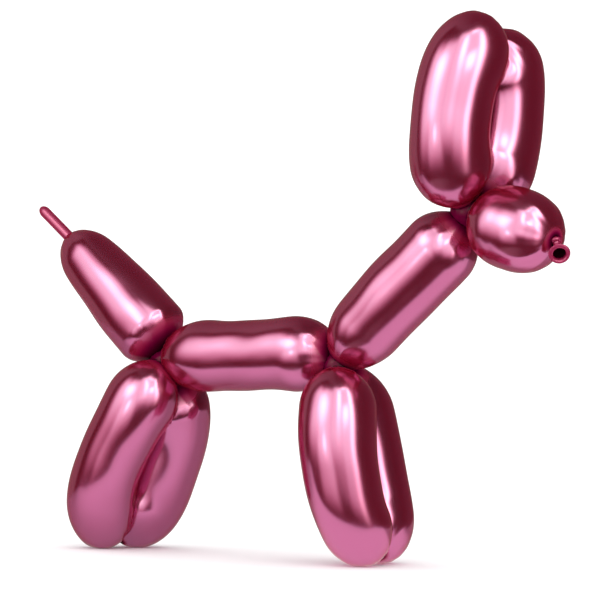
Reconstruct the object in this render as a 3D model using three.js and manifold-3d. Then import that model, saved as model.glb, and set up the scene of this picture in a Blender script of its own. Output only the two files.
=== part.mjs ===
// A poodle twisted from one long modelling balloon.
//
// Millimetres, +Z up, +X towards the head, +Y the dog's left. The origin is under the middle of
// the dog's bounding box, on the floor. The tube runs nozzle, muzzle, ears, neck, front legs,
// body, back legs, tail, tip. Each bubble is a round tube along a bowed line with a dome at each
// end, and all the bubbles are joined into one closed body where they press on each other.

import * as THREE from 'three';
import { mergeVertices } from 'three/addons/utils/BufferGeometryUtils.js';
import Module from 'manifold-3d';

const wasm = await Module();
wasm.setup();

// ---- driving dimensions --------------------------------------------------------------------

const RINGS = 18;            // rings of facets along a bubble
const SIDES = 20;            // facets around a bubble
const SMALL_SIDES = 12;      // facets around the tip and the nozzle
const DOME_POWER = 2.1;      // 2 is an elliptical dome, more is squarer
const SPREAD_POWER = 3;      // how quickly a pair of bubbles parts from its twist
const POLE_OFFSET = 3;       // from the middle of a pair to the end of either middle line
const CLOSING_POWER = 2.5;   // how late a dome swings in to close on its twist
const FLOOR_BITE = 0.6;      // how far a foot is flattened by the floor
const SMALLEST = 0.05;       // facet detail below this size is left out

// The twists, where bubbles meet, on the dog's middle plane except the knot: [x, y, z].
const twist = {
  knot: [185, -15, 208.5],
  head: [117, 0, 227],
  earTips: [131, 0, 339],
  front: [26, 0, 126],
  frontFeet: [58.5, 0, 6],
  back: [-106, 0, 125],
  backFeet: [-141, 0, 5],
  tailTip: [-187.5, 0, 209],
};

const feet = ['frontFeet', 'backFeet'];

// A pair of bubbles parts from the twists that it shares: yaw turns the parting from straight
// across the dog, in degrees, and reach is half the distance between the two middles.
const pairs = {
  ears: { yaw: 12, reach: 25.4 },
  frontLegs: { yaw: -9, reach: 24.2 },
  backLegs: { yaw: 16, reach: 22.3 },
};

// Each bubble is tied at its two twists. start and end say how far off them the middle line of
// its full tube begins and ends. radii are the tube's radius towards each end and in the middle,
// domes the lengths over which the ends close, bow and wave how far the middle line swings in
// one arc and in a double one.
const bubbles = [
  { name: 'muzzle', from: 'head', start: [8.5, -2, -4.5], to: 'knot', end: [-1, 0, -0.5],
    radii: [29.4, 26.3, 29.2], domes: [28, 30], bow: 0, wave: 0 },
  { name: 'right ear', from: 'head', start: [-2.5, 0, 11.5], to: 'earTips', end: [4, 0, 4],
    radii: [28, 25.2, 30], domes: [26, 42.5], bow: 3.2, wave: -1, pair: 'ears', side: -1 },
  { name: 'left ear', from: 'head', start: [3.5, 0, 8.5], to: 'earTips', end: [-4, 0, -4.5],
    radii: [26.5, 26.7, 25.3], domes: [29, 25], bow: 3.4, wave: 0.6, pair: 'ears', side: 1 },
  { name: 'neck', from: 'front', start: [1, 0, 3], to: 'head', end: [-3.5, 0, -8],
    radii: [22, 24.5, 24], domes: [30.5, 24], bow: 2.3, wave: 1 },
  { name: 'right front leg', from: 'front', start: [4.5, 0, -8], to: 'frontFeet', end: [0, 0, 0],
    radii: [24.8, 24.5, 21.4], domes: [25, 27], bow: -6, wave: 1, pair: 'frontLegs', side: -1 },
  { name: 'left front leg', from: 'front', start: [1.5, 0, -5], to: 'frontFeet', end: [-1, 0, 0],
    radii: [23.3, 24.1, 23.1], domes: [32.5, 31], bow: -3, wave: 0.2, pair: 'frontLegs', side: 1 },
  { name: 'body', from: 'back', start: [-2, 0, 4], to: 'front', end: [-4, 0, 9.5],
    radii: [26.3, 23.3, 26.6], domes: [43, 31.5], bow: -0.4, wave: 0 },
  { name: 'right back leg', from: 'back', start: [2.5, 0, -6], to: 'backFeet', end: [-1.5, 0, -1.5],
    radii: [26, 22.6, 23.6], domes: [30, 33.5], bow: -4, wave: 2.3, pair: 'backLegs', side: -1 },
  { name: 'left back leg', from: 'back', start: [0, 0, -14], to: 'backFeet', end: [-1.5, 0, 1.5],
    radii: [21.4, 23.6, 21.4], domes: [18, 28.5], bow: 0, wave: 0, pair: 'backLegs', side: 1 },
  { name: 'tail', from: 'back', start: [-2.5, 0, 11], to: 'tailTip', end: [0, 0, 0],
    radii: [24.3, 23.1, 15.3], domes: [15, 22.5], bow: -0.4, wave: 0 },
];

// The cores of the twists, hidden between the bubbles: [twist, offset, radius].
const cores = [
  ['head', [0, 0, 0], 12],
  ['front', [-1, 0, 0], 12],
  ['back', [-1, 0, 0], 12],
  ['earTips', [0, 0, -2], 6],
  ['frontFeet', [0, 0, 3], 5],
  ['backFeet', [0, 0, 3], 5],
];

// The uninflated tip past the tail.
const tip = { root: [4.5, 0, -4], direction: [-0.772, 0, 0.635], length: 37, radius: 3.7, cap: 5.5 };

// The knot and the rolled nozzle past the muzzle.
const knot = { radius: 2.5, wrap: 2.2, cord: 1.35, lean: [0.35, -0.2, -0.9] };
const nozzle = {
  mouth: [5, -4.5, -8.8],          // middle of the mouth, from the knot
  facing: [0.47, -0.78, -0.41],    // the way that the mouth opens
  bend: 5,                         // length of the straight run behind the mouth
  neck: 2.3,                       // outer radius at the knot
  flare: 5.2,                      // outer radius behind the lip
  lip: 1.4,                        // radius of the rolled lip
  rim: 6.8,                        // outer radius over the lip
  bore: 4,                         // radius of the mouth's hole
  depth: 6.5,                      // depth of the mouth's hole
};

const latex = new THREE.MeshStandardMaterial({ color: 0xb4426f, roughness: 0.22, metalness: 0.9 });

// ---- solids ----------------------------------------------------------------------------------

const vector = (p) => new THREE.Vector3(...p);

function solidOf(geometry) {
  geometry.deleteAttribute('normal');
  geometry.deleteAttribute('uv');
  const merged = mergeVertices(geometry, 1e-4);
  const index = [];
  const all = merged.index.array;
  for (let i = 0; i < all.length; i += 3) {
    const [a, b, c] = [all[i], all[i + 1], all[i + 2]];
    if (a !== b && b !== c && c !== a) index.push(a, b, c);
  }
  return new wasm.Manifold(new wasm.Mesh({
    numProp: 3,
    vertProperties: new Float32Array(merged.attributes.position.array),
    triVerts: new Uint32Array(index),
  }));
}

// Turns a lathe's straight axis, its +Y, into a curve: a point at height h goes to the curve's
// point at arc length h, square to the curve there, and is moved on by shift(h).
function bendAlong(lathe, curve, shift = () => new THREE.Vector3()) {
  const length = curve.getLength();
  const position = lathe.attributes.position;
  const across = new THREE.Vector3(0, 1, 0);
  const out = new THREE.Vector3();
  for (let i = 0; i < position.count; i += 1) {
    const along = position.getY(i);
    const u = THREE.MathUtils.clamp(along / length, 0, 1);
    const tangent = curve.getTangentAt(u);
    const side = across.clone().addScaledVector(tangent, -tangent.dot(across)).normalize();
    const over = new THREE.Vector3().crossVectors(tangent, side);
    out.copy(curve.getPointAt(u)).add(shift(along));
    out.addScaledVector(side, position.getZ(i));
    out.addScaledVector(over, position.getX(i));
    position.setXYZ(i, out.x, out.y, out.z);
  }
  return lathe;
}

// ---- bubbles ---------------------------------------------------------------------------------

class BubbleLine extends THREE.Curve {
  constructor(bubble) {
    super();
    this.arcLengthDivisions = 400;
    this.bow = bubble.bow;
    this.wave = bubble.wave;
    this.start = vector(twist[bubble.from]).add(vector(bubble.start));
    this.end = vector(twist[bubble.to]).add(vector(bubble.end));
    const axis = this.end.clone().sub(this.start).normalize();
    this.sideways = new THREE.Vector3(-axis.z, 0, axis.x);
    this.apart = new THREE.Vector3();
    this.reach = 0;
    if (bubble.pair) {
      const { yaw, reach } = pairs[bubble.pair];
      const angle = THREE.MathUtils.degToRad(yaw);
      this.apart.set(Math.sin(angle), Math.cos(angle), 0).multiplyScalar(bubble.side);
      this.reach = reach;
      this.start.addScaledVector(this.apart, POLE_OFFSET);
      this.end.addScaledVector(this.apart, POLE_OFFSET);
    }
  }

  getPoint(t, target = new THREE.Vector3()) {
    const swing = this.bow * 4 * t * (1 - t) + this.wave * Math.sin(2 * Math.PI * t);
    const parting = 1 - Math.abs(2 * t - 1) ** SPREAD_POWER;
    target.lerpVectors(this.start, this.end, t).addScaledVector(this.sideways, swing);
    if (this.reach) target.addScaledVector(this.apart, (this.reach - POLE_OFFSET) * parting);
    return target;
  }
}

function dome(distance, length) {
  const inward = THREE.MathUtils.clamp(1 - distance / length, 0, 1);
  return (1 - inward ** DOME_POWER) ** (1 / DOME_POWER);
}

function bubbleRadius(bubble, along, length) {
  const u = along / length;
  const [near, middle, far] = bubble.radii;
  const tube = near * (1 - u) * (1 - 2 * u) + middle * 4 * u * (1 - u) + far * u * (2 * u - 1);
  return tube * dome(along, bubble.domes[0]) * dome(length - along, bubble.domes[1]);
}

function bubbleSolid(bubble) {
  const line = new BubbleLine(bubble);
  const length = line.getLength();
  const toFirst = vector(twist[bubble.from]).sub(line.start);
  const toLast = vector(twist[bubble.to]).sub(line.end);
  const closing = (distance, reach) => (1 - dome(distance, reach)) ** CLOSING_POWER;
  const shift = (along) => new THREE.Vector3()
    .addScaledVector(toFirst, closing(along, bubble.domes[0]))
    .addScaledVector(toLast, closing(length - along, bubble.domes[1]));
  const profile = [];
  for (let i = 0; i <= RINGS; i += 1) {
    const along = (length / 2) * (1 - Math.cos((Math.PI * i) / RINGS));
    const atPole = i === 0 || i === RINGS;
    profile.push(new THREE.Vector2(atPole ? 0 : bubbleRadius(bubble, along, length), along));
  }
  const tube = bendAlong(new THREE.LatheGeometry(profile, SIDES), line, shift);
  if (feet.includes(bubble.to)) {
    tube.computeBoundingBox();
    tube.translate(0, 0, -FLOOR_BITE - tube.boundingBox.min.z);
  }
  return solidOf(tube);
}

function coreSolid([at, offset, radius]) {
  const ball = new THREE.IcosahedronGeometry(radius, 1);
  ball.translate(...vector(twist[at]).add(vector(offset)).toArray());
  return solidOf(ball);
}

// ---- tip, knot and nozzle ----------------------------------------------------------------------

function tipSolid() {
  const root = vector(twist.tailTip).add(vector(tip.root));
  const line = new THREE.LineCurve3(root, root.clone().addScaledVector(vector(tip.direction), tip.length));
  const profile = [new THREE.Vector2(0, 0), new THREE.Vector2(tip.radius, 0)];
  const steps = 5;
  for (let i = 0; i < steps; i += 1) {
    const angle = (Math.PI / 2) * (i / steps);
    const along = tip.length - tip.cap + tip.cap * Math.sin(angle);
    profile.push(new THREE.Vector2(tip.radius * Math.cos(angle), along));
  }
  profile.push(new THREE.Vector2(0, tip.length));
  return solidOf(bendAlong(new THREE.LatheGeometry(profile, SMALL_SIDES), line));
}

function knotSolid() {
  const turn = new THREE.Quaternion();
  turn.setFromUnitVectors(new THREE.Vector3(0, 0, 1), vector(knot.lean).normalize());
  const ring = new THREE.TorusGeometry(knot.wrap, knot.cord, 8, SMALL_SIDES);
  const ball = new THREE.IcosahedronGeometry(knot.radius, 1);
  for (const piece of [ring, ball]) {
    piece.applyQuaternion(turn);
    piece.translate(...twist.knot);
  }
  return solidOf(ring).add(solidOf(ball));
}

function nozzleSolid() {
  const root = vector(twist.knot);
  const mouth = root.clone().add(vector(nozzle.mouth));
  const facing = vector(nozzle.facing).normalize();
  const behind = mouth.clone().addScaledVector(facing, -nozzle.bend);
  const line = new THREE.QuadraticBezierCurve3(root, behind, mouth);
  const length = line.getLength();
  const { neck, flare, lip, rim, bore, depth } = nozzle;
  const profile = [
    new THREE.Vector2(0, 0),
    new THREE.Vector2(neck, 0),
    new THREE.Vector2(neck, length * 0.25),
    new THREE.Vector2(neck + (flare - neck) * 0.25, length * 0.5),
    new THREE.Vector2(flare, length - lip * 1.8),
  ];
  const turns = 6;
  for (let i = 0; i <= turns; i += 1) {
    const angle = Math.PI * (-0.15 + (1.15 * i) / turns);
    const radial = rim - lip + lip * Math.cos(angle);
    profile.push(new THREE.Vector2(radial, length - lip + lip * Math.sin(angle)));
  }
  profile.push(new THREE.Vector2(bore, length - lip * 1.6));
  profile.push(new THREE.Vector2(bore * 0.45, length - depth));
  profile.push(new THREE.Vector2(0, length - depth));
  return solidOf(bendAlong(new THREE.LatheGeometry(profile, SMALL_SIDES + 4), line));
}

// ---- the whole balloon -------------------------------------------------------------------------

function floorBlock() {
  const size = 600;
  const block = new THREE.BoxGeometry(size, size, size);
  block.translate(0, 0, -size / 2);
  return solidOf(block);
}

function balloonSolid() {
  const pieces = bubbles.map(bubbleSolid);
  pieces.push(...cores.map(coreSolid));
  pieces.push(tipSolid(), knotSolid(), nozzleSolid());
  const whole = pieces.reduce((joined, piece) => joined.add(piece));
  return whole.subtract(floorBlock()).simplify(SMALLEST);
}

function meshGeometry(solid) {
  const mesh = solid.getMesh();
  const geometry = new THREE.BufferGeometry();
  geometry.setAttribute('position', new THREE.BufferAttribute(new Float32Array(mesh.vertProperties), 3));
  geometry.setIndex(new THREE.BufferAttribute(new Uint32Array(mesh.triVerts), 1));
  geometry.computeVertexNormals();
  return geometry;
}

const geometry = meshGeometry(balloonSolid());
geometry.computeBoundingBox();
const middle = geometry.boundingBox.getCenter(new THREE.Vector3());

const balloon = new THREE.Mesh(geometry, latex);
balloon.name = 'balloon';
balloon.position.set(-middle.x, -middle.y, -geometry.boundingBox.min.z);

const dog = new THREE.Group();
dog.add(balloon);

export default dog;
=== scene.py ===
# Looks for a poodle twisted from one long metallic modelling balloon.
#
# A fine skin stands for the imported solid: the same bubbles, worked out from the same sizes, with
# the swells and pleats of a twisted balloon. Sizes are in millimetres in the part's own working
# frame, and become metres in the row frame when the skin is placed. The camera, the floor, the
# lights and the latex's grain are in metres and degrees.

import math

import bmesh
import bpy
import numpy as np
from mathutils import Matrix, Vector


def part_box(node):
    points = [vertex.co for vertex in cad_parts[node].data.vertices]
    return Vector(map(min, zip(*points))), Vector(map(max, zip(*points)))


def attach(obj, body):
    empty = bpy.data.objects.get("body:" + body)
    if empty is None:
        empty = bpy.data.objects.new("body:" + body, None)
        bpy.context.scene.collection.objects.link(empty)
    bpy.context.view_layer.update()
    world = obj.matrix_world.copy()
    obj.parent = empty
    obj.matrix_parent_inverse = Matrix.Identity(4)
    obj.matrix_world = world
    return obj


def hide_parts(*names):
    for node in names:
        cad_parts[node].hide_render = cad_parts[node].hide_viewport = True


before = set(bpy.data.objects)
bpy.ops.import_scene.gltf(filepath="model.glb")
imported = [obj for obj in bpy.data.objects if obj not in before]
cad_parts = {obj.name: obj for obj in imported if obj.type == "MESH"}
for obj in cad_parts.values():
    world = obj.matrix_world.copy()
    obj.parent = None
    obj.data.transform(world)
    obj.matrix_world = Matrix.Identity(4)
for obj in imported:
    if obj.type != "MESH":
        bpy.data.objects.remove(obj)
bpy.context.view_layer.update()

MM = 0.001

# ---- driving dimensions --------------------------------------------------------------------

DOME_POWER = 2.1      # 2 is an elliptical dome, more is squarer
SPREAD_POWER = 3      # how quickly a pair of bubbles parts from its twist
POLE_OFFSET = 3.0     # from the middle of a pair to the end of either middle line
CLOSING_POWER = 2.5   # how late a dome swings in to close on its twist
FLOOR_BITE = 0.6      # how far a foot is flattened by the floor

RINGS = 120           # rings of quads along a bubble
SIDES = 80            # quads around a bubble
SMALL_SIDES = 40      # quads around the tip and the nozzle
LINE_STEPS = 1200     # steps along a bubble's middle line
BALL_SUBDIVISIONS = 4
SHARP_ANGLE = 30      # edges sharper than this, in degrees, aren't smoothed over

# Latex gathers in pleats towards a twist. Each count is a number of pleats around the bubble.
SEED = 7
PLEAT_COUNTS = (7, 11, 18)
PLEAT_DEPTH = 0.35
PLEAT_REACH = 22      # how far from a twist the pleats run
PLEAT_PEAK = 6.75     # makes the pleats' rise and fall, g (1 - g)^2, reach 1 at its highest

# A bubble swells a little unevenly along its length, in waves of these lengths.
SWELL_LENGTHS = (85, 52, 37)
SWELL_DEPTH = 0.4
BODY_SWELL_DEPTH = 0.75
SWELL_EASING = 30     # how far from a twist the swells take to build up

# How taut the latex is runs from 0, slack at a twist, to 1 on a full bubble. It also carries
# painted shade: low values darken the colour, both as slack latex and as shade painted near the
# twists, on their cores and in the nozzle's bore. It is 1 from these distances on, and has one
# value all over each of the small parts, but for the nozzle's bore, which is 0.
CREASE_REACH = {"head": 8, "front": 10, "back": 10}
FREE_END_REACH = 1.5  # for the other twists
CORE_TAUT_AND_UNSHADED = 0.15
TIP_TAUT = 0.6
NOZZLE_TAUT = 0.45

# The twists, where bubbles meet, on the dog's middle plane except the knot.
TWISTS = {
    "knot": (185, -15, 208.5),
    "head": (117, 0, 227),
    "ear_tips": (131, 0, 339),
    "front": (26, 0, 126),
    "front_feet": (58.5, 0, 6),
    "back": (-106, 0, 125),
    "back_feet": (-141, 0, 5),
    "tail_tip": (-187.5, 0, 209),
}

# How a pair of bubbles parts from its twists: turned from straight across the dog, in degrees,
# and half the distance between the two middles.
PAIRS = {"ears": (12, 25.4), "front_legs": (-9, 24.2), "back_legs": (16, 22.3)}

# name, first twist, start from it, last twist, end from it, radii near, middle and far,
# lengths of the two domes, bow, wave, pair, side (right -1, left +1)
BUBBLES = [
    ("muzzle", "head", (8.5, -2, -4.5), "knot", (-1, 0, -0.5),
     (29.4, 26.3, 29.2), (28, 30), 0, 0, None, 0),
    ("right_ear", "head", (-2.5, 0, 11.5), "ear_tips", (4, 0, 4),
     (28, 25.2, 30), (26, 42.5), 3.2, -1, "ears", -1),
    ("left_ear", "head", (3.5, 0, 8.5), "ear_tips", (-4, 0, -4.5),
     (26.5, 26.7, 25.3), (29, 25), 3.4, 0.6, "ears", 1),
    ("neck", "front", (1, 0, 3), "head", (-3.5, 0, -8),
     (22, 24.5, 24), (30.5, 24), 2.3, 1, None, 0),
    ("right_front_leg", "front", (4.5, 0, -8), "front_feet", (0, 0, 0),
     (24.8, 24.5, 21.4), (25, 27), -6, 1, "front_legs", -1),
    ("left_front_leg", "front", (1.5, 0, -5), "front_feet", (-1, 0, 0),
     (23.3, 24.1, 23.1), (32.5, 31), -3, 0.2, "front_legs", 1),
    ("body", "back", (-2, 0, 4), "front", (-4, 0, 9.5),
     (26.3, 23.3, 26.6), (43, 31.5), -0.4, 0, None, 0),
    ("right_back_leg", "back", (2.5, 0, -6), "back_feet", (-1.5, 0, -1.5),
     (26, 22.6, 23.6), (30, 33.5), -4, 2.3, "back_legs", -1),
    ("left_back_leg", "back", (0, 0, -14), "back_feet", (-1.5, 0, 1.5),
     (21.4, 23.6, 21.4), (18, 28.5), 0, 0, "back_legs", 1),
    ("tail", "back", (-2.5, 0, 11), "tail_tip", (0, 0, 0),
     (24.3, 23.1, 15.3), (15, 22.5), -0.4, 0, None, 0),
]

# The wrung cores of the twists, latex between the bubbles, darkened both as wrung latex and with
# painted shade: twist, offset, radius.
CORES = [
    ("head", (0, 0, 0), 12),
    ("front", (-1, 0, 0), 11),
    ("back", (-1, 0, 0), 11),
    ("ear_tips", (0, 0, -2), 5),
    ("front_feet", (0, 0, 3), 5),
    ("back_feet", (0, 0, 3), 5),
]

# The uninflated tip past the tail.
TIP_ROOT = (4.5, 0, -4)
TIP_DIRECTION = (-0.772, 0, 0.635)
TIP_LENGTH = 37
TIP_RADIUS = 3.7
TIP_CAP = 5.5

# The knot and the rolled nozzle past the muzzle.
KNOT_RADIUS = 2.5
KNOT_WRAP = 2.2
KNOT_CORD = 1.35
KNOT_LEAN = (0.35, -0.2, -0.9)
MOUTH = (5, -4.5, -8.8)
MOUTH_FACING = (0.47, -0.78, -0.41)
MOUTH_BEND = 5
NOZZLE_NECK = 2.3
NOZZLE_FLARE = 5.2
LIP_RADIUS = 1.4
LIP_RIM = 6.8
BORE_RADIUS = 4
BORE_DEPTH = 6.5
BORE_TAPER = 0.55     # the share of its radius that the bore loses on the way in
BORE_START = 1.6      # how far behind the mouth the bore starts to narrow, in lip radii
FLARE_END = 1.8       # how far behind the mouth the flare ends outside, in lip radii
FLARE_PLACES = (0, 0.3, 0.62, 1)    # places along the neck and its flare
FLARE_SHARES = (0, 0, 0.25, 1)      # how much of the flare there is at each
LIP_ROLL = (-0.15, 1)               # where the lip's round starts and ends, in half turns

# The camera, from the middle of the dog.
CAMERA_AZIMUTH = 30
CAMERA_ELEVATION = -0.5
CAMERA_ROLL = 1.5
CAMERA_DISTANCE = 2.0
CAMERA_TARGET_HEIGHT = 0.165
SENSOR_WIDTH = 36
PICTURE_WIDTH = 612
PICTURE_SCALE = 0.00065    # metres to a pixel at the target


# ---- mesh helpers --------------------------------------------------------------------------

def unit(v):
    v = np.asarray(v, float)
    return v / np.linalg.norm(v)


def mesh_object(name, verts, faces, taut_and_unshaded):
    """A mesh object. The last argument is how taut the latex is, one value or one for each point;
    its low values also darken the colour as painted shade.
    """
    mesh = bpy.data.meshes.new(name)
    mesh.from_pydata([tuple(v) for v in verts], [], [tuple(f) for f in faces])
    layer = mesh.attributes.new("taut_and_unshaded", "FLOAT", "POINT")
    layer.data.foreach_set("value", np.broadcast_to(np.float32(taut_and_unshaded), len(verts)).copy())
    obj = bpy.data.objects.new(name, mesh)
    bpy.context.scene.collection.objects.link(obj)
    return obj


def ball_object(name, centre, radius, taut_and_unshaded):
    bm = bmesh.new()
    bmesh.ops.create_icosphere(bm, subdivisions=BALL_SUBDIVISIONS, radius=radius)
    verts = [np.array(v.co) + centre for v in bm.verts]
    faces = [[v.index for v in face.verts] for face in bm.faces]
    bm.free()
    return mesh_object(name, verts, faces, taut_and_unshaded)


def capped_tube(name, rings, first, last, taut_and_unshaded):
    """A closed body from equal rings of points, with a point at either end."""
    count, sides = len(rings), len(rings[0])
    taut_and_unshaded = np.concatenate([taut_and_unshaded[:1], np.repeat(taut_and_unshaded, sides), taut_and_unshaded[-1:]])
    verts = [first, *[p for ring in rings for p in ring], last]
    faces = []
    for j in range(sides):
        k = (j + 1) % sides
        faces.append((0, 1 + k, 1 + j))
        base = 1 + (count - 1) * sides
        faces.append((len(verts) - 1, base + j, base + k))
        for i in range(count - 1):
            a = 1 + i * sides
            faces.append((a + j, a + k, a + sides + k, a + sides + j))
    return mesh_object(name, verts, faces, taut_and_unshaded)


def frames_along(points):
    """Unit tangents of a line of points, and two unit vectors square to each."""
    tangents = np.gradient(points, axis=0)
    tangents /= np.linalg.norm(tangents, axis=1)[:, None]
    across = np.array([0.0, 1.0, 0.0])
    side = across - tangents * (tangents @ across)[:, None]
    side /= np.linalg.norm(side, axis=1)[:, None]
    return tangents, side, np.cross(tangents, side)


def arc_lengths(points):
    return np.concatenate([[0], np.cumsum(np.linalg.norm(np.diff(points, axis=0), axis=1))])


def sample(values, arc, along):
    """Values given at arc lengths, read off at other lengths along."""
    return np.stack([np.interp(along, arc, values[:, k]) for k in range(3)], axis=1)


def swept_rings(centres, radius, side_way, over, turn):
    """Rings of points about a line of centres. radius has a row for each ring."""
    outward = (np.cos(turn)[None, :, None] * side_way[:, None]
               + np.sin(turn)[None, :, None] * over[:, None])
    return centres[:, None] + radius[:, :, None] * outward


# ---- bubbles -------------------------------------------------------------------------------

def dome(distance, length):
    """The share of the full radius at a distance from the end of a bubble."""
    inward = np.clip(1 - distance / length, 0, 1)
    return (1 - inward ** DOME_POWER) ** (1 / DOME_POWER)


def pleats_and_swells(along, length, turn, swell):
    """How far the skin stands out from a smooth bubble, for each ring and each place around it."""
    nearest = np.minimum(along, length - along)
    gathered = np.clip(nearest / PLEAT_REACH, 0, 1)
    gathered = (gathered * (1 - gathered) ** 2 * PLEAT_PEAK)[:, None]
    out = np.zeros((len(along), len(turn)))
    for count in PLEAT_COUNTS:
        for end in (along < length / 2, along >= length / 2):
            wave = np.cos(count * turn + rng.uniform(0, 2 * math.pi))
            out += gathered * end[:, None] * wave * PLEAT_DEPTH / len(PLEAT_COUNTS)
    easing = np.clip(nearest / SWELL_EASING, 0, 1)[:, None]
    for lobes, wavelength in enumerate(SWELL_LENGTHS):
        phase = 2 * math.pi * along / wavelength + rng.uniform(0, 2 * math.pi)
        wave = np.cos(phase[:, None] + lobes * turn + rng.uniform(0, 2 * math.pi))
        out += easing * wave * swell / len(SWELL_LENGTHS)
    return out


def bubble_line(start, end, bow, wave, pair, side):
    """Points along a bubble's middle line, and the arc length at each."""
    t = np.linspace(0, 1, LINE_STEPS + 1)[:, None]
    start, end = np.array(start, float), np.array(end, float)
    axis = unit(end - start)
    sideways = np.array([-axis[2], 0, axis[0]])
    apart, spread = np.zeros(3), 0.0
    if pair:
        yaw, reach = PAIRS[pair]
        yaw = math.radians(yaw)
        apart = side * np.array([math.sin(yaw), math.cos(yaw), 0])
        spread = reach - POLE_OFFSET
        start = start + apart * POLE_OFFSET
        end = end + apart * POLE_OFFSET
    swing = bow * 4 * t * (1 - t) + wave * np.sin(2 * math.pi * t)
    parting = 1 - np.abs(2 * t - 1) ** SPREAD_POWER
    points = start + (end - start) * t + sideways * swing + apart * spread * parting
    return points, arc_lengths(points)


def bubble_object(row):
    name, first_twist, start, last_twist, end, radii, domes, bow, wave, pair, side = row
    first = np.array(TWISTS[first_twist], float)
    last = np.array(TWISTS[last_twist], float)
    points, arc = bubble_line(first + start, last + end, bow, wave, pair, side)
    length = arc[-1]
    along = length / 2 * (1 - np.cos(math.pi * np.arange(1, RINGS) / RINGS))

    # The tube's radius follows a parabola through its three radii, and closes in a dome each way.
    u = along / length
    near, middle, far = radii
    tube = near * (1 - u) * (1 - 2 * u) + middle * 4 * u * (1 - u) + far * u * (2 * u - 1)
    first_dome = dome(along, domes[0])
    last_dome = dome(length - along, domes[1])
    turn = 2 * math.pi * np.arange(SIDES) / SIDES
    swell = BODY_SWELL_DEPTH if name == "body" else SWELL_DEPTH
    radius = (tube * first_dome * last_dome)[:, None]
    radius = radius + pleats_and_swells(along, length, turn, swell)

    # The domes swing in to close on the twists.
    centres = sample(points, arc, along)
    centres = centres + ((1 - first_dome) ** CLOSING_POWER)[:, None] * (first - points[0])
    centres = centres + ((1 - last_dome) ** CLOSING_POWER)[:, None] * (last - points[-1])
    _, side_way, over = frames_along(points)
    side_way = sample(side_way, arc, along)
    over = sample(over, arc, along)
    rings = swept_rings(centres, radius, side_way, over, turn)
    if "leg" in name:
        drop = -FLOOR_BITE - rings[..., 2].min()
        rings[..., 2] += drop
        first = first + (0, 0, drop)
        last = last + (0, 0, drop)

    # The latex slackens towards the twists, and the same fall paints shade into its colour there.
    near_reach = CREASE_REACH.get(first_twist, FREE_END_REACH)
    far_reach = CREASE_REACH.get(last_twist, FREE_END_REACH)
    taut_and_unshaded = np.clip(np.minimum(along / near_reach, (length - along) / far_reach), 0, 1)
    return capped_tube(name, rings, first, last, taut_and_unshaded * taut_and_unshaded * (3 - 2 * taut_and_unshaded))


def core_object(row):
    at, offset, radius = row
    return ball_object("core_" + at, np.array(TWISTS[at]) + offset, radius, CORE_TAUT_AND_UNSHADED)


# ---- tip, knot and nozzle ------------------------------------------------------------------

def lathe_along(name, points, profile, taut_and_unshaded):
    """A profile of (distance along, radius) turned about a line of points, pole to pole."""
    points = np.asarray(points, float)
    profile = np.asarray(profile, float)
    arc = arc_lengths(points)
    tangents, side_way, over = frames_along(points)
    along = profile[:, 0]
    past = np.clip(along - arc[-1], 0, None)[:, None] * tangents[-1]
    centres = sample(points, arc, along) + past
    side_way = sample(side_way, arc, along)
    over = sample(over, arc, along)
    turn = 2 * math.pi * np.arange(SMALL_SIDES) / SMALL_SIDES
    radius = np.repeat(profile[:, 1:], SMALL_SIDES, axis=1)
    rings = swept_rings(centres, radius, side_way, over, turn)
    return capped_tube(name, rings[1:-1], centres[0], centres[-1], taut_and_unshaded[1:-1])


def tip_object():
    """A straight tube with a rounded end."""
    root = np.array(TWISTS["tail_tip"]) + TIP_ROOT
    direction = unit(TIP_DIRECTION)
    line_steps, tube_steps, cap_steps = 20, 30, 16
    points = [root + direction * TIP_LENGTH * k / line_steps for k in range(line_steps + 1)]
    profile = [(0, 0)]
    for k in range(tube_steps + 1):
        profile.append(((TIP_LENGTH - TIP_CAP) * k / tube_steps, TIP_RADIUS))
    for k in range(1, cap_steps):
        angle = math.pi / 2 * k / cap_steps
        profile.append((TIP_LENGTH - TIP_CAP + TIP_CAP * math.sin(angle),
                        TIP_RADIUS * math.cos(angle)))
    profile.append((TIP_LENGTH, 0))
    return lathe_along("tip", points, profile, np.full(len(profile), TIP_TAUT))


def knot_objects():
    """A cord wound round the knot, and a ball that fills it."""
    centre = np.array(TWISTS["knot"], float)
    axis = unit(KNOT_LEAN)
    side = unit(np.cross(axis, (0, 1, 0)))
    over = np.cross(axis, side)
    around, across = 72, 28
    verts, faces = [], []
    for i in range(around):
        a = 2 * math.pi * i / around
        out = math.cos(a) * side + math.sin(a) * over
        for j in range(across):
            b = 2 * math.pi * j / across
            verts.append(centre + out * (KNOT_WRAP + KNOT_CORD * math.cos(b))
                         + axis * KNOT_CORD * math.sin(b))
            next_i = (i + 1) % around
            next_j = (j + 1) % across
            faces.append((i * across + j, next_i * across + j,
                          next_i * across + next_j, i * across + next_j))
    return [mesh_object("knot_ring", verts, faces, NOZZLE_TAUT),
            ball_object("knot_ball", centre, KNOT_RADIUS, NOZZLE_TAUT)]


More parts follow.
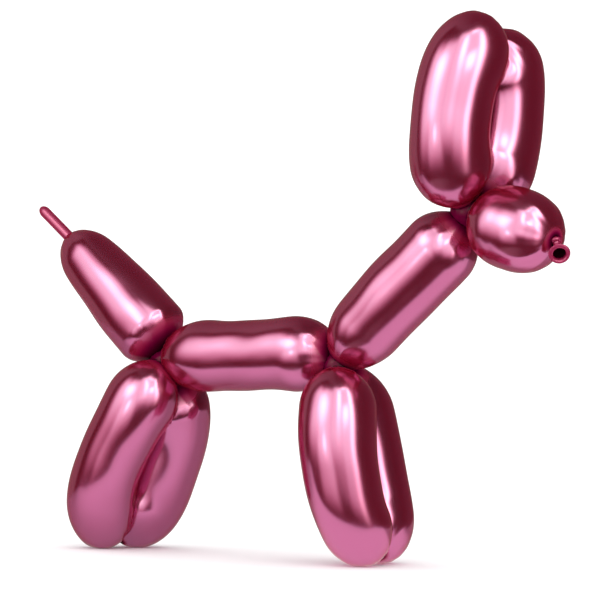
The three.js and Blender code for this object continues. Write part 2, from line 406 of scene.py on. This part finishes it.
def nozzle_object():
    """A bent neck that flares to a rolled lip, with a bore that narrows inwards."""
    root = np.array(TWISTS["knot"], float)
    mouth = root + MOUTH
    behind = mouth - unit(MOUTH_FACING) * MOUTH_BEND
    line_points, flare_points, lip_steps, bore_steps = 60, 24, 24, 8
    t = np.linspace(0, 1, line_points)[:, None]
    points = (1 - t) ** 2 * root + 2 * t * (1 - t) * behind + t ** 2 * mouth
    length = np.linalg.norm(np.diff(points, axis=0), axis=1).sum()

    profile = [(0, 0)]
    flare_end = length - LIP_RADIUS * FLARE_END
    for k in range(flare_points):
        u = k / (flare_points - 1)
        ease = np.interp(u, FLARE_PLACES, FLARE_SHARES)
        profile.append((flare_end * u, NOZZLE_NECK + (NOZZLE_FLARE - NOZZLE_NECK) * ease))
    for k in range(lip_steps + 1):
        angle = math.pi * (LIP_ROLL[0] + (LIP_ROLL[1] - LIP_ROLL[0]) * k / lip_steps)
        profile.append((length - LIP_RADIUS + LIP_RADIUS * math.sin(angle),
                        LIP_RIM - LIP_RADIUS + LIP_RADIUS * math.cos(angle)))
    outside = len(profile)
    bore_start = length - LIP_RADIUS * BORE_START
    bore_end = length - BORE_DEPTH
    for k in range(bore_steps + 1):
        u = k / bore_steps
        profile.append((bore_start + (bore_end - bore_start) * u,
                        BORE_RADIUS * (1 - BORE_TAPER * u)))
    profile.append((bore_end, 0))
    # The bore gets 0, which paints it near black: painted shade inside the hole.
    taut_and_unshaded = np.where(np.arange(len(profile)) < outside, NOZZLE_TAUT, 0)
    return lathe_along("nozzle", points, profile, taut_and_unshaded)


# ---- the whole skin ------------------------------------------------------------------------

def join_all(objects):
    """One closed body from overlapping ones."""
    whole = objects[0]
    for other in objects[1:]:
        join = whole.modifiers.new("join", "BOOLEAN")
        join.operation = "UNION"
        join.solver = "MANIFOLD"
        join.object = other
        depsgraph = bpy.context.evaluated_depsgraph_get()
        mesh = bpy.data.meshes.new_from_object(whole.evaluated_get(depsgraph))
        whole.modifiers.clear()
        old = whole.data
        whole.data = mesh
        bpy.data.meshes.remove(old)
        bpy.data.objects.remove(other)
    return whole


def place_skin(skin):
    """Flattens the feet on the floor, and moves the skin into the row frame, in metres."""
    mesh = skin.data
    co = np.empty(len(mesh.vertices) * 3)
    mesh.vertices.foreach_get("co", co)
    co = co.reshape(-1, 3)
    co[:, 2] = np.maximum(co[:, 2], 0)
    low, high = (np.array(corner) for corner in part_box("balloon"))
    middle = (co.min(axis=0) + co.max(axis=0)) / 2
    shift = (low + high) / 2 - middle * MM
    shift[2] = low[2]
    co = co * MM + shift
    mesh.vertices.foreach_set("co", co.reshape(-1))
    mesh.update()
    return shift


rng = np.random.default_rng(SEED)
parts = [bubble_object(row) for row in BUBBLES]
parts += [core_object(row) for row in CORES]
parts += [tip_object(), *knot_objects(), nozzle_object()]
skin = join_all(parts)
skin.name = "balloon_skin"
shift = place_skin(skin)
for polygon in skin.data.polygons:
    polygon.use_smooth = True
skin.data.set_sharp_from_angle(angle=math.radians(SHARP_ANGLE))

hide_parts("balloon")
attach(skin, "root")


# ---- shader node helpers -------------------------------------------------------------------

def feed(tree, socket, value):
    """Links a socket from an output, or sets it to a plain value."""
    if isinstance(value, bpy.types.NodeSocket):
        tree.links.new(value, socket)
    else:
        socket.default_value = value


def math_node(tree, operation, a, b=0):
    node = tree.nodes.new("ShaderNodeMath")
    node.operation = operation
    feed(tree, node.inputs[0], a)
    feed(tree, node.inputs[1], b)
    return node.outputs[0]


def mix_node(tree, kind, amount, a, b):
    node = tree.nodes.new("ShaderNodeMix")
    node.data_type = "RGBA"
    node.blend_type = kind
    feed(tree, node.inputs["Factor"], amount)
    feed(tree, node.inputs["A"], a)
    feed(tree, node.inputs["B"], b)
    return node.outputs["Result"]


def range_node(tree, source, given, wanted, kind="LINEAR"):
    """Turns one range of values into another, and holds it at either end."""
    node = tree.nodes.new("ShaderNodeMapRange")
    node.interpolation_type = kind
    for name, value in zip(("From Min", "From Max", "To Min", "To Max"), (*given, *wanted)):
        node.inputs[name].default_value = value
    tree.links.new(source, node.inputs["Value"])
    return node.outputs["Result"]


def ramp_node(tree, source, stops):
    """Colours read off between stops, each a position from 0 to 1 and a colour."""
    node = tree.nodes.new("ShaderNodeValToRGB")
    elements = node.color_ramp.elements
    for k, (position, colour) in enumerate(stops):
        stop = elements[k] if k < 2 else elements.new(position)
        stop.position = position
        stop.color = (*colour, 1)
    tree.links.new(source, node.inputs["Fac"])
    return node.outputs["Color"]


# ---- material ------------------------------------------------------------------------------

# Colours by how taut the latex is, and how cloudy it is. The darker colours at the slack end are
# partly slack latex's own colour and partly painted shade, near black at 0, at the twists and in
# the nozzle's bore.
FOIL_AND_SHADE_COLOURS = [
    (0, (0.01, 0.001, 0.003)),
    (0.15, (0.07, 0.004, 0.02)),
    (0.3, (0.26, 0.03, 0.11)),
    (0.6, (0.45, 0.12, 0.25)),
    (1, (0.56, 0.165, 0.35)),
]
DYE_AND_SHADE_COLOURS = [
    (0, (0.01, 0.0, 0.002)),
    (0.15, (0.14, 0.0, 0.03)),
    (0.5, (0.42, 0.001, 0.05)),
    (1, (0.7, 0.002, 0.03)),
]
CLOUD_COLOURS = [(0, (0.94, 0.91, 0.93)), (1, (1.0, 1.0, 1.0))]
FOIL_EDGE = (0.6, 0.3, 0.28)
DYE_SHARE = 0.13
SLACK_DYE_SHARE = 0.85
FOIL_ROUGHNESS = 0.2
SLACK_ROUGHNESS = 0.6
COAT = 0.6
COAT_ROUGHNESS = 0.11
CLOUD_SCALE = 45
CLOUD_DETAIL = 3
CLOUD_ROUGHNESS = (0.9, 1.1)    # times the latex's own
GRAIN_SCALE = 260
GRAIN_DETAIL = 2
GRAIN_STRENGTH = 0.2
GRAIN_HEIGHT = 0.00003


def latex_material():
    """Metallic latex: a soft mirror under a glossy coat, with a little red dye showing through.

    It is darkest, dullest and reddest where it is slack, in the creases and at the nozzle. In the
    creases, on the twists' cores and in the nozzle's bore, that darkness is also painted shade.
    """
    material = bpy.data.materials.new("metallic_latex")
    material.use_nodes = True
    tree = material.node_tree
    # How taut the latex is, whose low values also paint shade into the colour.
    attribute = tree.nodes.new("ShaderNodeAttribute")
    attribute.attribute_name = "taut_and_unshaded"
    taut_and_unshaded = attribute.outputs["Fac"]
    place = tree.nodes.new("ShaderNodeTexCoord").outputs["Object"]

    def noise(scale, detail):
        node = tree.nodes.new("ShaderNodeTexNoise")
        node.inputs["Scale"].default_value = scale
        node.inputs["Detail"].default_value = detail
        tree.links.new(place, node.inputs["Vector"])
        return node.outputs["Fac"]

    clouds = noise(CLOUD_SCALE, CLOUD_DETAIL)
    # The metal's colour, darkened towards the twists and in the bore as painted shade as well as
    # slack latex.
    foil_and_shade = mix_node(tree, "MULTIPLY", 1, ramp_node(tree, taut_and_unshaded, FOIL_AND_SHADE_COLOURS),
                    ramp_node(tree, clouds, CLOUD_COLOURS))
    roughness = math_node(tree, "MULTIPLY",
                          range_node(tree, taut_and_unshaded, (0, 1), (SLACK_ROUGHNESS, FOIL_ROUGHNESS)),
                          range_node(tree, clouds, (0, 1), CLOUD_ROUGHNESS))
    bump = tree.nodes.new("ShaderNodeBump")
    bump.inputs["Strength"].default_value = GRAIN_STRENGTH
    bump.inputs["Distance"].default_value = GRAIN_HEIGHT
    tree.links.new(noise(GRAIN_SCALE, GRAIN_DETAIL), bump.inputs["Height"])

    mirror = tree.nodes["Principled BSDF"]
    mirror.inputs["Metallic"].default_value = 1.0
    mirror.inputs["Specular Tint"].default_value = (*FOIL_EDGE, 1)
    mirror.inputs["Coat Weight"].default_value = COAT
    mirror.inputs["Coat Roughness"].default_value = COAT_ROUGHNESS
    tree.links.new(foil_and_shade, mirror.inputs["Base Color"])
    tree.links.new(roughness, mirror.inputs["Roughness"])
    tree.links.new(bump.outputs["Normal"], mirror.inputs["Normal"])

    dye = tree.nodes.new("ShaderNodeBsdfDiffuse")
    tree.links.new(ramp_node(tree, taut_and_unshaded, DYE_AND_SHADE_COLOURS), dye.inputs["Color"])
    both = tree.nodes.new("ShaderNodeMixShader")
    dye_share = range_node(tree, taut_and_unshaded, (0, 1), (SLACK_DYE_SHARE, DYE_SHARE))
    tree.links.new(dye_share, both.inputs["Fac"])
    tree.links.new(mirror.outputs[0], both.inputs[1])
    tree.links.new(dye.outputs[0], both.inputs[2])
    tree.links.new(both.outputs[0], tree.nodes["Material Output"].inputs["Surface"])
    return material


skin.data.materials.clear()
skin.data.materials.append(latex_material())


# ---- camera --------------------------------------------------------------------------------

def camera_axes():
    """Unit vectors from the dog to the camera, to the picture's right and upwards, unrolled."""
    azimuth, elevation = math.radians(CAMERA_AZIMUTH), math.radians(CAMERA_ELEVATION)
    back = Vector((math.sin(azimuth) * math.cos(elevation),
                   -math.cos(azimuth) * math.cos(elevation), math.sin(elevation)))
    level = Vector((math.cos(azimuth), math.sin(azimuth), 0))
    return back, level, back.cross(level)


def add_camera():
    back, level, up = camera_axes()
    roll = math.radians(CAMERA_ROLL)
    right = level * math.cos(roll) + up * math.sin(roll)
    up = up * math.cos(roll) - level * math.sin(roll)
    target = Vector((shift[0], shift[1], CAMERA_TARGET_HEIGHT))
    data = bpy.data.cameras.new("camera")
    data.sensor_width = SENSOR_WIDTH
    data.lens = SENSOR_WIDTH * CAMERA_DISTANCE / (PICTURE_SCALE * PICTURE_WIDTH)
    camera = bpy.data.objects.new("camera", data)
    bpy.context.scene.collection.objects.link(camera)
    rotation = Matrix((right, up, back)).transposed().to_4x4()
    camera.matrix_world = Matrix.Translation(target + back * CAMERA_DISTANCE) @ rotation
    bpy.context.scene.camera = camera


add_camera()


# ---- floor and light -----------------------------------------------------------------------

# The soft light is a curved diffuser in front of the dog. Places on it are an azimuth from the
# camera towards the picture's right, in degrees, and a height in metres. A panel, a pane or a
# glow is its middle, its half size each way, its brightness, and the share that is full bright.
DIFFUSER_RADIUS = 0.6
DIFFUSER_SPAN = (-105, 75)
DIFFUSER_HEIGHT = (-0.35, 1.8)
DIFFUSER_COLUMNS = 48
PANEL_DIM_COLOUR = (1.0, 0.6, 0.66)
PANEL_COLOUR = (0.72, 1.06, 0.8)
PANEL_BRIGHTNESS = 2.5
PANELS = [
    (-36, 0.47, 31, 0.66, PANEL_BRIGHTNESS, 0.45),
    (-68, 0.48, 26, 0.56, PANEL_BRIGHTNESS, 0.25),
    (4, 0.7, 31, 0.74, PANEL_BRIGHTNESS, 0.55),
    (32, 0.67, 25, 0.76, PANEL_BRIGHTNESS, 0.55),
]
PANE_COLOUR = (0.85, 1.0, 0.7)    # of the glows too
PANE_BRIGHTNESS = 5
PANE_FULL = 0.15
PANES = [
    (5, 0.7, 10, 0.55, PANE_BRIGHTNESS, PANE_FULL),
    (43, 0.6, 9, 0.7, PANE_BRIGHTNESS, PANE_FULL),
    (27, 1.15, 18, 0.17, PANE_BRIGHTNESS, PANE_FULL),
    (25, 0.42, 14, 0.15, PANE_BRIGHTNESS, PANE_FULL),
]
GLOWS = [(-47, 0.5, 26, 0.3, 4.5, 0.1), (-35, 0.18, 9, 0.11, 4.2, 0.1)]
REFLECTED_AGAIN = 0.35    # how much of this light shows in a reflection of a reflection
REFLECTION_LIMIT = 1.5    # between a reflection, 1, and a reflection of a reflection, 2

# The floor that the camera sees, and the white table top that the latex mirrors, which ends a
# short way in front of the dog. It darkens from SHADE_START to SHADE_END, in metres behind the
# dog's middle.
FLOOR_HALF = 30
SHEET_ROUGHNESS = 0.9
TABLE_CORNERS = [(-0.42, 0.0), (0.8, -0.36), (1.0, 1.2), (-0.6, 1.2)]
TABLE_DROP = 0.0005
TABLE_WHITE = 0.84
SHADE_START = -0.05
SHADE_END = 0.07
SHADE_DEPTH = 0.4    # the share of its white that is left

# The room, white to all but the mirror. The mirror sees a dark room, with colours by how far a
# direction points away from the camera, and added colours by how far it points to the right,
# both from -1 to 1.
ROOM_WHITE = (1.3, 1.3, 1.3)
AWAY_COLOURS = [
    (-1, (0.01, 0.01, 0.01)),
    (0.1, (0.01, 0.01, 0.01)),
    (0.6, (0.06, 0.06, 0.06)),
    (0.85, (0.13, 0.13, 0.13)),
    (0.97, (0.2, 0.2, 0.2)),
]
RIGHT_COLOURS = [
    (-1, (0.24, 0.25, 0.19)),
    (-0.5, (0.2, 0.21, 0.17)),
    (0, (0.02, 0.02, 0.02)),
    (1, (0, 0, 0)),
]


def link_object(name, verts, faces):
    mesh = bpy.data.meshes.new(name)
    mesh.from_pydata(verts, [], faces)
    obj = bpy.data.objects.new(name, mesh)
    bpy.context.scene.collection.objects.link(obj)
    return obj


def fade_node(tree, source, full, bright):
    """bright up to full, falling smoothly to nothing at 1."""
    return range_node(tree, source, (full, 1), (bright, 0), "SMOOTHSTEP")


def diffuser_material():
    material = bpy.data.materials.new("diffuser")
    material.use_nodes = True
    tree = material.node_tree
    tree.nodes.clear()
    place = tree.nodes.new("ShaderNodeUVMap")
    place.uv_map = "place"
    parts = tree.nodes.new("ShaderNodeSeparateXYZ")
    tree.links.new(place.outputs["UV"], parts.inputs[0])

    def offset(axis, middle, half):
        away = math_node(tree, "SUBTRACT", parts.outputs[axis], middle)
        return math_node(tree, "DIVIDE", away, half)

    def patches(rows):
        """Oblongs with soft edges."""
        total = 0.0
        for azimuth, height, wide, tall, bright, full in rows:
            across = math_node(tree, "ABSOLUTE", offset("X", azimuth, wide))
            upward = math_node(tree, "ABSOLUTE", offset("Y", height, tall))
            patch = math_node(tree, "MULTIPLY", fade_node(tree, across, full, bright),
                              fade_node(tree, upward, full, 1))
            total = math_node(tree, "MAXIMUM", total, patch)
        return total

    def ovals(rows, total):
        """Ovals with soft edges, laid over what is there."""
        for azimuth, height, wide, tall, bright, full in rows:
            across = offset("X", azimuth, wide)
            upward = offset("Y", height, tall)
            square = math_node(tree, "ADD", math_node(tree, "MULTIPLY", across, across),
                               math_node(tree, "MULTIPLY", upward, upward))
            oval = fade_node(tree, math_node(tree, "SQRT", square), full, bright)
            total = math_node(tree, "MAXIMUM", total, oval)
        return total

    depth = tree.nodes.new("ShaderNodeLightPath").outputs["Glossy Depth"]
    again = math_node(tree, "GREATER_THAN", depth, REFLECTION_LIMIT)
    dimming = math_node(tree, "ADD", math_node(tree, "MULTIPLY", again, REFLECTED_AGAIN - 1), 1)

    def lamp(strength, colour):
        node = tree.nodes.new("ShaderNodeEmission")
        feed(tree, node.inputs["Color"], colour)
        tree.links.new(math_node(tree, "MULTIPLY", strength, dimming), node.inputs["Strength"])
        return node.outputs[0]

    panels = patches(PANELS)
    glows = ovals(GLOWS, patches(PANES))
    tint = mix_node(tree, "MIX", math_node(tree, "DIVIDE", panels, PANEL_BRIGHTNESS),
                    (*PANEL_DIM_COLOUR, 1), (*PANEL_COLOUR, 1))
    both = tree.nodes.new("ShaderNodeAddShader")
    tree.links.new(lamp(panels, tint), both.inputs[0])
    tree.links.new(lamp(glows, (*PANE_COLOUR, 1)), both.inputs[1])
    output = tree.nodes.new("ShaderNodeOutputMaterial")
    tree.links.new(both.outputs[0], output.inputs["Surface"])
    return material


def add_diffuser():
    first, last = DIFFUSER_SPAN
    azimuths = [first + (last - first) * k / DIFFUSER_COLUMNS for k in range(DIFFUSER_COLUMNS + 1)]
    verts = []
    for azimuth in azimuths:
        turn = math.radians(CAMERA_AZIMUTH + azimuth)
        for height in DIFFUSER_HEIGHT:
            verts.append((DIFFUSER_RADIUS * math.sin(turn), -DIFFUSER_RADIUS * math.cos(turn),
                          height))
    faces = [(2 * k, 2 * k + 1, 2 * k + 3, 2 * k + 2) for k in range(DIFFUSER_COLUMNS)]
    wall = link_object("diffuser", verts, faces)
    layer = wall.data.uv_layers.new(name="place")
    for loop in wall.data.loops:
        column, row = divmod(loop.vertex_index, 2)
        layer.data[loop.index].uv = (azimuths[column], DIFFUSER_HEIGHT[row])
    wall.data.materials.append(diffuser_material())
    wall.visible_camera = False
    wall.visible_diffuse = False
    wall.visible_shadow = False


def add_sheet(name, corners):
    """A flat matt white sheet. Corners are towards the picture's right and away from the camera."""
    sheet = link_object(name, [(x, y, 0) for x, y in corners], [(0, 1, 2, 3)])
    material = bpy.data.materials.new(name)
    material.use_nodes = True
    shader = material.node_tree.nodes["Principled BSDF"]
    shader.inputs["Base Color"].default_value = (1, 1, 1, 1)
    shader.inputs["Roughness"].default_value = SHEET_ROUGHNESS
    shader.inputs["Specular IOR Level"].default_value = 0
    sheet.data.materials.append(material)
    sheet.rotation_euler = (0, 0, math.radians(CAMERA_AZIMUTH))
    return sheet


def add_floor():
    corners = [(x * FLOOR_HALF, y * FLOOR_HALF) for x, y in ((-1, -1), (1, -1), (1, 1), (-1, 1))]
    floor = add_sheet("floor", corners)
    floor.visible_glossy = False


def add_table():
    """The table top, darker under the dog and behind it, where the dog keeps the light off."""
    table = add_sheet("table", TABLE_CORNERS)
    table.location.z = -TABLE_DROP
    table.visible_camera = False
    table.visible_diffuse = False
    table.visible_shadow = False
    tree = table.data.materials[0].node_tree
    parts = tree.nodes.new("ShaderNodeSeparateXYZ")
    tree.links.new(tree.nodes.new("ShaderNodeTexCoord").outputs["Object"], parts.inputs[0])
    shade = range_node(tree, parts.outputs["Y"], (SHADE_START, SHADE_END),
                       (TABLE_WHITE, TABLE_WHITE * SHADE_DEPTH), "SMOOTHSTEP")
    tree.links.new(shade, tree.nodes["Principled BSDF"].inputs["Base Color"])


def add_room():
    world = bpy.data.worlds.new("studio")
    bpy.context.scene.world = world
    world.cycles.sampling_method = "NONE"    # it is too even to need sampling as a lamp
    world.use_nodes = True
    tree = world.node_tree
    tree.nodes.clear()
    turn = tree.nodes.new("ShaderNodeMapping")
    turn.inputs["Rotation"].default_value = (0, 0, math.radians(-CAMERA_AZIMUTH))
    direction = tree.nodes.new("ShaderNodeTexCoord").outputs["Generated"]
    tree.links.new(direction, turn.inputs["Vector"])
    parts = tree.nodes.new("ShaderNodeSeparateXYZ")
    tree.links.new(turn.outputs["Vector"], parts.inputs[0])

    def colours(axis, stops):
        place = range_node(tree, parts.outputs[axis], (-1, 1), (0, 1))
        return ramp_node(tree, place, [((at + 1) / 2, colour) for at, colour in stops])

    mirrored = mix_node(tree, "ADD", 1, colours("Y", AWAY_COLOURS), colours("X", RIGHT_COLOURS))
    glossy = tree.nodes.new("ShaderNodeLightPath").outputs["Is Glossy Ray"]
    background = tree.nodes.new("ShaderNodeBackground")
    tree.links.new(mix_node(tree, "MIX", glossy, (*ROOM_WHITE, 1), mirrored),
                   background.inputs["Color"])
    output = tree.nodes.new("ShaderNodeOutputWorld")
    tree.links.new(background.outputs[0], output.inputs["Surface"])


add_floor()
add_table()
add_diffuser()
add_room()
bpy.context.scene.view_settings.view_transform = "Standard"
